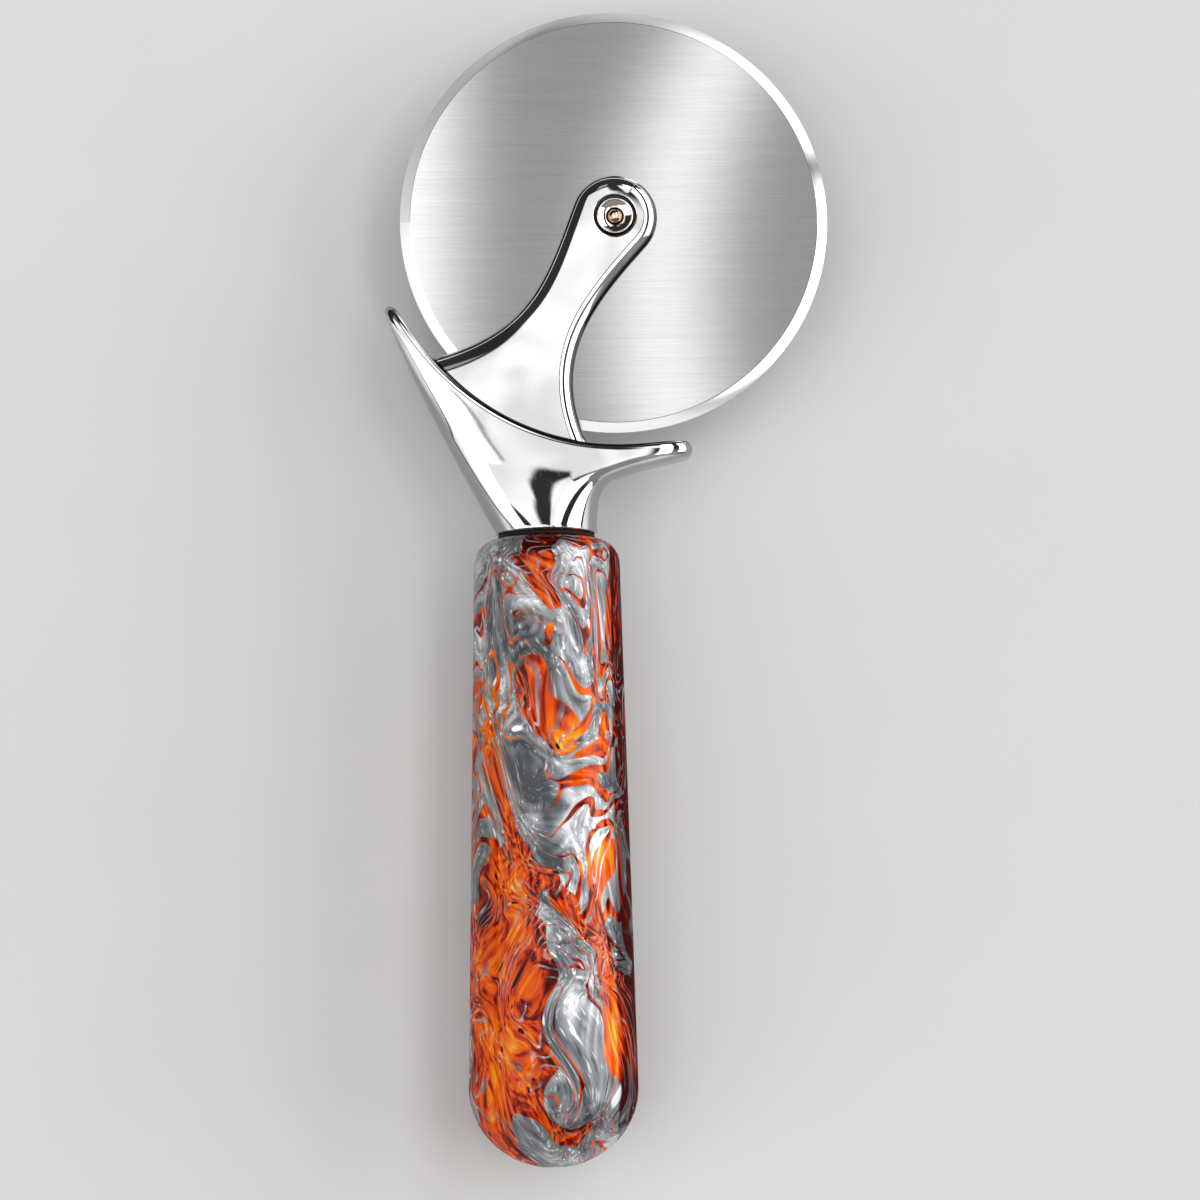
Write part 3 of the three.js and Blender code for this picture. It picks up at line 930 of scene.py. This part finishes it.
# %% Chrome plate
RIPPLE_HEIGHT = 0.0007
ripple = place.noise(0.035, 1.0)
hairline = place.mapped(Rotation=(0, 0, 0.6), Scale=(9, 0.35, 3)).noise(1.0, 3.0)
haze = place.noise(0.12, 3.0, 0.6).step(0.5, 0.75)
soft_grey = place.noise(0.055, 1.0, 0.5, 0.8).step(0.40, 0.66)
plate = soft_grey.mix((0.95, 0.95, 0.955, 1), (0.70, 0.70, 0.715, 1))
# Painted shade on the flanks, and painted shadow lines along the rim and the arm's right edge.
plate = painted_flank_shade.mix(plate, (0.38, 0.38, 0.395, 1))
plate = painted_edge_shade.larger(painted_rim_shadow).mix(plate, (0.04, 0.038, 0.036, 1))
# Painted shade in the bore round the cup, which is also rougher.
connect(
    chrome,
    base_color=painted_recess_shade.mix(plate, (0.03, 0.028, 0.026, 1)),
    metallic=1.0,
    roughness=0.025 + haze * 0.03 + hairline.step(0.6, 0.75) * 0.02 + painted_recess_shade * 0.3,
    normal=bump(ripple + hairline.step(0.62, 0.7) * 0.0006, 1.0, RIPPLE_HEIGHT),
)

# %% [markdown]
# The faces are brushed along X, so the surface tilts at random across the grooves. An anisotropic shader
# smears reflections likewise, but a stretched noise shows the single hairs too. A mask by radius takes
# the brushing away on the ground bevel.

# %% Brushing of the blade
blade_centre = (axle[0], axle[1], 0)
brushed_blade, place = finish("brushed blade", blade_centre)
x, y, _ = place.axes()
ground = x.reach(y).step(bevel_start - land_width, bevel_start)
GROOVE_LEAN = 0.16


def grain(length, pitch):
    """Coordinates for a noise that runs for a length along X and changes over a pitch across it."""
    return place.mapped(Scale=(1 / length, 1 / pitch, 1))


fine = grain(7.0, 0.09).noise(1.0, 2.0, 0.6)
middle_lines = grain(16.0, 0.28).noise(1.0, 3.0, 0.65)
broad = grain(40.0, 2.0).noise(1.0, 2.0)
hairlines = (middle_lines - 0.5) * 0.22 + (fine - 0.5) * 0.26 + (broad - 0.5) * 0.10 + 1
brush_relief = (fine * 0.002 + middle_lines * 0.003 + y * GROOVE_LEAN) * (1 - ground)
print("the brushing takes", len(brushed_blade.node_tree.nodes), "nodes")

# %% [markdown]
# Brushed steel shows broad light and dark bands, which are reflections. Lamps could draw them, but they
# would show in the chrome too, so they are painted into the colour as soft curves. The bevel's colour gets
# painted reflection too, darker at some bearings, and its polish changes on the way round.

# %% Painted reflection bands of the blade and its bevel
SHEEN_HALF_WIDTH = 15.5
BLACK = (0, 0, 0, 1)


def sheen(distance, half_width):
    """Soft band: e to the minus squared distance in half widths."""
    share = distance / half_width
    return (share * share).bell()


right_sheen_middle = 12.5 + y * 0.17 + y * y * 0.004
left_sheen_middle = y * 0.03 - blade_radius
# Painted reflections: two soft light bands across the brushed face, on the right and on the left.
right_painted_sheen = sheen(x - right_sheen_middle, SHEEN_HALF_WIDTH)
left_painted_sheen = sheen(x - left_sheen_middle, SHEEN_HALF_WIDTH)
painted_bands_and_grain = (0.25 + right_painted_sheen * 0.49 + left_painted_sheen * 0.62) * hairlines
bearing = y.bearing(x)
top_of_rim = sheen(bearing - 92.0, 16.0)
# Painted reflection on the bevel: its colour is darker at two bearings round the rim.
painted_bevel_tone = 0.74 - sheen(bearing - 140.0, 38.0) * 0.34 - sheen(bearing - 15.0, 6.0) * 0.58
face_colour = painted_bands_and_grain.mix(BLACK, (1.0, 1.0, 0.995, 1))
connect(
    brushed_blade,
    base_color=ground.mix(face_colour, painted_bevel_tone.mix(BLACK, (1.0, 1.0, 1.0, 1))),
    metallic=1.0,
    roughness=0.12 + ground * (0.04 + top_of_rim * 0.24),
    normal=bump(brush_relief, 1.0, 0.001),
)

# %% [markdown]
# The handle is clear resin with pearl and dye stirred in before it set. An image could show that. Without
# one, domain warping does: a noise moves the coordinates of the next. They are stirred three times here,
# in ever smaller eddies.

# %% Stirred coordinates
resin, place = finish("marbled resin")
x, y, z = place.axes()
FLOW_TILT = -0.36
stretched = place.mapped(Rotation=(0, 0, FLOW_TILT)).mapped(Scale=(1, 0.62, 1))


def stirred(vector, scale, reach):
    """The vector moved by up to about half the reach, by three noises of the given scale."""
    push = vector.noise(scale, 0.0, 0.5, 0.0, 1)
    centred = push.vector("SUBTRACT", (0.5, 0.5, 0.5))
    return vector.vector("ADD", centred.vector("MULTIPLY", (reach,) * 3))


def drawn_out(vector, across, along):
    """Coordinates for threads: fine across the stirred X and Z, long along the stirred Y."""
    return vector.mapped(Scale=(across, along, across))


slow = stirred(stretched, 0.05, 20.0)
folded = stirred(slow, 0.11, 9.0)
curl = stirred(folded, 0.28, 2.6)
print("stirring takes", len(resin.node_tree.nodes), "nodes")

# %% [markdown]
# Noise puts its colours anywhere. Soft spots raise or lower a pattern where the real handle has more
# orange, slate or silver. They are stirred a little too, so none shows as an oval, and the back is free.

# %% Soft spots in the front view
drift_x, drift_y, _ = curl.vector("SUBTRACT", stretched).axes()
moved_x, moved_y = x + drift_x * 0.35, y + drift_y * 0.6
facing = z.step(-8, 6)


def gathered(spots):
    """Sum of spots in the front view: amount times e to the minus squared distance in half widths. A spot
    is its middle in X and Y, its half width, its half length and its amount."""
    total = 0.0
    for middle_x, middle_y, half_width, half_length, amount in spots:
        across_share, along_share = (moved_x - middle_x) / half_width, (moved_y - middle_y) / half_length
        total = total + (across_share * across_share + along_share * along_share).bell() * amount
    return total * facing


print("spots fade from z = 6 mm to z = -8 mm")

# %% [markdown]
# Dye lies in pools with sharp shores, which a threshold on a noise makes. The thin veins could be drawn
# as curves, but level lines of a smooth noise never cross and bend like currents.

# %% Dyed pools and veins
DYE_SPOTS = [
    (-2, -8, 4, 12, 0.42), (9, -1.5, 5, 3.5, 0.26), (-1.5, -24, 2, 4, 0.20),
    (4, -45, 3.6, 5.2, 0.36), (9.5, -78, 3.5, 5, 0.28), (4, -85, 5, 5, 0.30),
    (-9, -77, 4.5, 9, 0.26), (-11.5, -100, 8, 24, 0.40), (-12, -128, 8, 14, 0.34),
    (11, -119, 4.5, 9, 0.32), (10, -98, 3, 9, 0.26), (18.6, -70, 2.8, 80, 0.52),
    (-9, -28, 7, 26, -0.20), (-2, -64, 5, 16, -0.26), (2.5, -104, 4.5, 15, -0.26),
    (8, -26, 6, 16, -0.14), (2, -132, 5, 8, -0.12), (12, -18, 3, 14, -0.14),
]
VEIN_SPOTS = [
    (10.5, -48, 6, 42, 1.35), (-13, -38, 5, 22, 0.7), (8, -112, 8, 24, 0.7),
    (-17, -75, 3, 70, 1.1),
]
VEIN_LEVELS = 7.0
DYE_THRESHOLD = 0.57
dye_level = folded.noise(0.085, 0.5, 0.4) + gathered(DYE_SPOTS) - DYE_THRESHOLD
pool = dye_level.step(-0.004, 0.010)
flow = curl.noise(0.075, 0.0)
flow_level = flow * VEIN_LEVELS
vein_wave = abs(flow_level.math("FRACT", flow_level) - 0.5)
vein_width = slow.noise(0.12, 1.0).step(0.30, 0.70) * 0.19 + 0.09
vein_edge = vein_width * (gathered(VEIN_SPOTS) + (1 - facing) * 0.6)
vein = 1 - vein_wave.step(vein_edge - 0.02, vein_edge + 0.02)
thread = (1 - abs(vein_wave - 0.25).step(0.03, 0.07)) * slow.noise(0.16, 1.0).step(0.42, 0.56)
dyed = pool * (1 - thread * 0.8)
any_dye = dyed.larger(vein)
print("spots of dye:", len(DYE_SPOTS), " spots of veins:", len(VEIN_SPOTS))

# %% [markdown]
# Pearl is mica flakes that settle along the currents, so it shines in folds like crumpled silk. A
# metallic colour with clouds and folds gives that, with glimmers as painted highlights and creases as
# painted shade, and a ramp turns their sum into slate, grey and silver. Some veins have an amber stain
# beside them.

# %% Pearl
SLATE_SPOTS = [
    (0, -64, 3.2, 14, 0.30), (-5.5, -34, 3.5, 9, 0.22), (-1, -108, 3, 12, 0.16),
    (5, -114, 8, 20, 0.10),
]
SILVER_SPOTS = [(9, -74, 4, 6, 0.30), (4, -112, 5, 7, 0.28), (6, -8, 3, 8, 0.25)]
AMBER_SPOTS = [(-12, -45, 7, 24, 0.9), (-9, -72, 5, 8, 0.7)]
AMBER = (0.45, 0.20, 0.035, 1)
silk = drawn_out(curl, 1.1, 0.16).noise(1.0, 2.0, 0.5)
cloud = folded.noise(0.15, 2.0, 0.5)
folds = (dye_level * 46.0 + flow * 26.0).sine()
crinkle = drawn_out(curl, 1.7, 0.45).noise(1.0, 2.0, 0.55)
# Glimmers paint highlights on the crinkles, and creases paint shade between them.
painted_glimmer, painted_crease_shade = crinkle.step(0.57, 0.70), 1 - crinkle.step(0.30, 0.43)
# Painted shade: right of about x = 14.5 mm the pearl and the dye are darker, and the coat is thinner.
painted_shade_right_edge = x.step(14.2, 14.8)
pearl_tone_and_painted_light = 0.40 + (cloud - 0.5) * 1.2 + folds * 0.06 + (silk - 0.5) * 0.42
pearl_tone_and_painted_light = pearl_tone_and_painted_light + painted_glimmer * 0.36 - painted_crease_shade * 0.15
pearl_tone_and_painted_light = pearl_tone_and_painted_light + gathered(SILVER_SPOTS) - gathered(SLATE_SPOTS) - painted_shade_right_edge * 0.2
pearl = pearl_tone_and_painted_light.ramp([
    (0.15, (0.07, 0.075, 0.085)),
    (0.36, (0.21, 0.22, 0.235)),
    (0.52, (0.37, 0.38, 0.40)),
    (0.66, (0.58, 0.59, 0.61)),
    (0.79, (0.92, 0.92, 0.94)),
])
halo = (1 - vein_wave.step(vein_edge, vein_edge + 0.17)) * gathered(AMBER_SPOTS)
pearl = halo.mix(pearl, AMBER)
print("spots of slate, silver and amber:", len(SLATE_SPOTS), len(SILVER_SPOTS), len(AMBER_SPOTS))

# %% [markdown]
# Clear dye is dark red where it is deep and glows orange where light comes back through it. Real
# transmission needs many light paths, so the glow is painted into the colour by a ramp over a streaky
# depth. Glow spots paint more of it in places, and spots with negative amounts paint less glow and paint
# shade along the right edge and across the handle's top.

# %% Dye
PAINTED_GLOW_AND_SHADE_SPOTS = [
    (5.5, -45, 3, 5, 0.46), (9.5, -77, 3.5, 4, 0.42), (12, -117, 3, 7, 0.45),
    (-12, -98, 6, 24, -0.12), (-11, -132, 4, 8, 0.10), (10, -38, 6, 40, 0.14),
    (18.5, -70, 3.5, 80, -0.40), (0, 0, 30, 3, -0.50), (-1, -19, 3, 4, 0.25),
    (-13, -40, 6, 26, 0.32),
]
streak = drawn_out(curl, 0.75, 0.13).noise(1.0, 3.0, 0.55)
dye_depth_and_painted_glow = 0.20 + (streak - 0.5) * 2.0 + dye_level.larger(0.05) * 0.75 + folds * 0.05
# Painted glow and shade from the spots, and painted shade at the right edge, change the depth.
dye_depth_and_painted_glow = dye_depth_and_painted_glow + gathered(PAINTED_GLOW_AND_SHADE_SPOTS) - painted_shade_right_edge * 0.28
dye = dye_depth_and_painted_glow.ramp([
    (0.00, (0.05, 0.002, 0.001)),
    (0.18, (0.28, 0.010, 0.001)),
    (0.36, (0.72, 0.062, 0.002)),
    (0.60, (0.90, 0.150, 0.004)),
    (0.80, (1.00, 0.30, 0.010)),
    (1.00, (1.00, 0.55, 0.060)),
])
print("spots of glow:", len(PAINTED_GLOW_AND_SHADE_SPOTS))

# %% [markdown]
# Specks come last: pits in the dye, and white flakes in the pearl, which are painted glints. A Voronoi
# texture scatters them without objects, and each cell's colour picks which of them show. The polish is a
# clear coat, stronger where a long reflection lies on the right.

# %% Marbled resin
cell_place = drawn_out(curl, 0.36, 0.22)
cells = cell_place.node("TexVoronoi", None, {"Vector": cell_place, "Scale": 1.0})
pick = Wire(resin.node_tree, cells.socket.node.outputs["Color"]).axes()[0]
speck = 1 - cells.step(0.13, 0.20)
pit = speck * pick.step(0.22, 0.26) * pool
# White specks in the pearl: painted glints.
painted_glint = speck * pick.step(0.70, 0.74) * (1 - pool)
colour = dyed.mix(vein.mix(pearl, dye), dye)
colour = pit.mix(colour, (0.01, 0.004, 0.003, 1))
colour = painted_glint.mix(colour, (0.95, 0.95, 0.97, 1))
connect(
    resin,
    base_color=colour,
    metallic=0.55 - any_dye * 0.53,
    roughness=0.30 + any_dye * 0.05,
    specular_ior_level=0.0,
    # The coat is thinner where shade is painted at the right edge.
    coat_weight=0.26 + x.step(6, 10) * 0.24 - painted_shade_right_edge * 0.45,
    coat_roughness=0.02,
    coat_ior=1.52,
    normal=bump(folds * 0.04 + silk * 0.05 + crinkle * 0.05 + cloud * 0.5, 1.0, 0.001),
)

# %% [markdown]
# Rivet and cup are warm bright nickel with faint stains. The peened end is darker, with a painted
# highlight in its middle, and a ring of painted shade stands for the dark gap that parts it from the cup.
# It is a few pixels wide, so rings in the colour hold it steady.

# %% Nickel
nickel, place = finish("warm nickel", blade_centre)
x, y, _ = place.axes()
radius = x.reach(y)
stain = place.noise(0.9, 3.0, 0.6)
past_pin = radius.step(rivet_tenon - 0.1, rivet_tenon)
# Painted shade: a dark ring between pin and cup stands for the shade in the gap.
painted_gap_shade = past_pin * (1 - radius.step(cup_hole, cup_hole + 0.15))
bright_nickel = stain.mix((0.86, 0.74, 0.62, 1), (0.92, 0.86, 0.80, 1))
# Painted highlight: the pin's colour is lighter towards its middle.
painted_pin_highlight = 1 - radius.step(0.35, 0.95)
pin_colour = painted_pin_highlight.mix((0.42, 0.28, 0.19, 1), (0.95, 0.87, 0.78, 1))
connect(
    nickel,
    base_color=painted_gap_shade.mix((1 - past_pin).mix(bright_nickel, pin_colour), (0.02, 0.016, 0.013, 1)),
    metallic=1.0,
    roughness=0.05 + stain.step(0.45, 0.8) * 0.08,
    normal=bump(place.noise(3.0, 2.0), 0.3, 0.00002),
)

# %% [markdown]
# Bronze, brass and zinc show the lathe's rings and some tarnish. Rings finer than a hair needn't be
# modelled, so a sine as bump is enough. They differ in colour, pitch and axis: one function makes all.

# %% Turned metals
Y_AXIS, Z_AXIS = 1, 2


def ringed_metal(name, centre, dark, bright, pitch, axis):
    """Turned metal: rings round the axis as colour and relief, with patches of tarnish."""
    material, place = finish(name, centre)
    coordinates = place.axes()
    along = coordinates.pop(axis)
    rings = ((coordinates[0].reach(coordinates[1]) + along) / pitch).sine()
    tarnish = place.noise(0.5, 3.0, 0.6)
    connect(
        material,
        base_color=(tarnish * 0.8 + rings * 0.1).mix(dark, bright),
        metallic=1.0,
        roughness=0.28 + tarnish * 0.15,
        normal=bump(rings, 0.4, 0.00002),
    )
    return material


on_seat = (0, 0, 0)
bronze, brass, zinc = (
    ringed_metal("turned bronze", blade_centre, (0.30, 0.16, 0.06, 1), (0.60, 0.38, 0.17, 1), 0.05, Z_AXIS),
    ringed_metal("turned brass", on_seat, (0.50, 0.34, 0.12, 1), (0.80, 0.60, 0.26, 1), 0.06, Y_AXIS),
    ringed_metal("zinc plate", on_seat, (0.42, 0.44, 0.48, 1), (0.66, 0.68, 0.70, 1), 0.20, Y_AXIS),
)

# %% [markdown]
# Rubber is nearly black with a dusty bloom. Nylon is milky, because light goes in and comes out beside
# that place. A fine noise keeps both from looking painted when they are seen close.

# %% Rubber and nylon
rubber, place = finish("black rubber")
bloom = place.noise(0.8, 4.0, 0.6)
connect(
    rubber,
    base_color=bloom.mix((0.006, 0.006, 0.007, 1), (0.02, 0.02, 0.021, 1)),
    roughness=0.5 + bloom * 0.2,
    specular_ior_level=0.15,
    normal=bump(place.noise(6.0, 3.0), 0.4, 0.00005),
)
nylon, place = finish("milky nylon", blade_centre)
grain_tone = place.noise(1.6, 4.0, 0.6)
connect(
    nylon,
    base_color=grain_tone.mix((0.74, 0.71, 0.64, 1), (0.86, 0.84, 0.80, 1)),
    roughness=0.42 + grain_tone * 0.15,
    subsurface_weight=0.2,
    subsurface_radius=(0.002, 0.0016, 0.0012),
    normal=bump(grain_tone, 0.3, 0.00004),
)

# %% [markdown]
# Each piece gets its finish, the body that it rides on and the packed node that it stands for. Wheel and
# bush turn together, and the rest stays with the handle. One table is easy to check.

# %% Dress, ride and stand in
DRESSING = [
    (resin_handle, resin, "marbled_resin", "cutter_body", "handle"),
    (brass_insert, brass, "brass", "cutter_body", "threaded_insert"),
    (zinc_stud, zinc, "plated_steel", "cutter_body", "threaded_stud"),
    (rubber_washer, rubber, "black_rubber", "cutter_body", "neck_washer"),
    (head, chrome, "chrome_plate", "cutter_body", "head_casting"),
    (steel_blade, brushed_blade, "brushed_blade_steel", "wheel", "blade"),
    (bronze_bush, bronze, "bronze", "wheel", "hub_bush"),
    (nylon_front, nylon, "nylon", "cutter_body", "front_thrust_washer"),
    (nylon_rear, nylon, "nylon", "cutter_body", "rear_thrust_washer"),
    (nickel_rivet, nickel, "nickel_plate", "cutter_body", "pivot_rivet"),
    (nickel_cup, nickel, "nickel_plate", "cutter_body", "front_cup_washer"),
]
for piece, material, slot, body, node in DRESSING:
    piece.data.materials.clear()
    piece.data.materials.append(material)
    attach(piece, body)
    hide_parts(node)
print("dressed", len(DRESSING), "pieces")

# %% [markdown]
# The cutter lies on a plain pale table: one large face, a hair below the part so that they don't
# flicker, with a faint noise so that it doesn't look flat.

# %% Table
table_half = 12.0
table_drop = 0.0002
ends = np.array([-table_half, table_half])
table_x, table_y = np.meshgrid(ends, ends)
table_points = as_points(table_x, table_y, -table_drop).reshape(-1, 3)
table_mesh = bpy.data.meshes.new("table")
table_mesh.from_pydata(table_points.tolist(), [], [[0, 1, 3, 2]])
table = bpy.data.objects.new("table", table_mesh)
bpy.context.scene.collection.objects.link(table)
pale, place = finish("pale table")
paper = place.noise(0.02, 2.0)
connect(pale, base_color=paper.mix((0.72, 0.72, 0.72, 1), (0.75, 0.75, 0.75, 1)), roughness=0.7)
table.data.materials.append(pale)
print("table", table.dimensions[:])

# %% [markdown]
# Polished metal shows what is round it. Lamps would do, but a room is easier to shape: the world's shader
# draws soft panels by direction, which is a sideways lean from straight up and a share ahead, along Y.

# %% Panels of a room
room = bpy.data.worlds.new("room")
room.use_nodes = True
background = room.node_tree.nodes["Background"]
background.inputs["Color"].default_value = (1, 1, 1, 1)
directions = room.node_tree.nodes.new("ShaderNodeTexCoord")
right, ahead, above = Wire(room.node_tree, directions.outputs["Generated"]).axes()
lean = right.bearing(above)


def panel(lean_from, lean_to, ahead_from, ahead_to, soft=1.5, soft_ahead=0.03):
    """Mask of a panel: a range of sideways lean in degrees by a range of the direction's Y."""
    sideways = lean.step(lean_from - soft, lean_from + soft) * (1 - lean.step(lean_to - soft, lean_to + soft))
    along = ahead.step(ahead_from - soft_ahead, ahead_from + soft_ahead)
    return sideways * along * (1 - ahead.step(ahead_to - soft_ahead, ahead_to + soft_ahead))


print("room with", len(room.node_tree.nodes), "nodes before its panels")

# %% [markdown]
# Two tall key panels stand on the right with a dark gap between them, a weaker one on the left, and a
# window with smaller panels overhead, joined by the larger value so that overlaps don't add up. Beyond
# the wheel the room is dark, which gives the chrome its black stripes.

# %% Light of the room
key = panel(18, 33, -0.32, 0.78) + panel(49, 84, -0.32, 0.78)
left_panel = panel(-82, -9, -0.55, 0.18, 2.5)
window = panel(-7, 13, -0.42, 0.25, 2.0)
upper_left = panel(-36, 5 - (ahead - 0.25) * 20, 0.17, 0.62)
upper_right = panel(9, 18, 0.25, 0.70)
far_strip = panel(-22, -6, 0.69, 0.80) * 0.35
ambient = 0.03 + (1 - ahead.step(-0.35, 0.15)) * 0.25
overhead = window.larger(upper_left.larger(upper_right)) * 1.02
glow = ambient + key * 2.7 + left_panel * 1.3 + overhead.larger(far_strip)
room.node_tree.links.new(glow.socket, background.inputs["Strength"])
bpy.context.scene.world = room
print("the room's light has", len(room.node_tree.nodes), "nodes")

# %% [markdown]
# The camera looks down from a hand's breadth towards the butt. It could be aimed by eye, but its place
# and lens come from matching the wheel, the handle's edges and the horns' tips with the photographed
# outline.

# %% Camera
camera_place = np.array([-33.9017, -106.6883, 913.3199]) * MM
camera_pitch, camera_yaw, camera_roll = math.radians(6.5), math.radians(-2.0), -0.0147035714
camera_data = bpy.data.cameras.new("camera")
camera_data.sensor_width = 36.0
camera_data.lens = 114.876
camera = bpy.data.objects.new("camera", camera_data)
camera_turn = (
    Matrix.Rotation(camera_yaw, 3, "Y")
    @ Matrix.Rotation(camera_pitch, 3, "X")
    @ Matrix.Rotation(camera_roll, 3, "Z")
)
camera.matrix_world = Matrix.Translation(camera_place.tolist()) @ camera_turn.to_4x4()
bpy.context.scene.collection.objects.link(camera)
bpy.context.scene.camera = camera
bpy.context.scene.view_settings.view_transform = "Standard"
print("camera at", camera_place.round(4))

# %% [markdown]
# The dressed part's box should be the packed model's, because a surface that outgrew its solid would no
# longer fit what the part is used with.
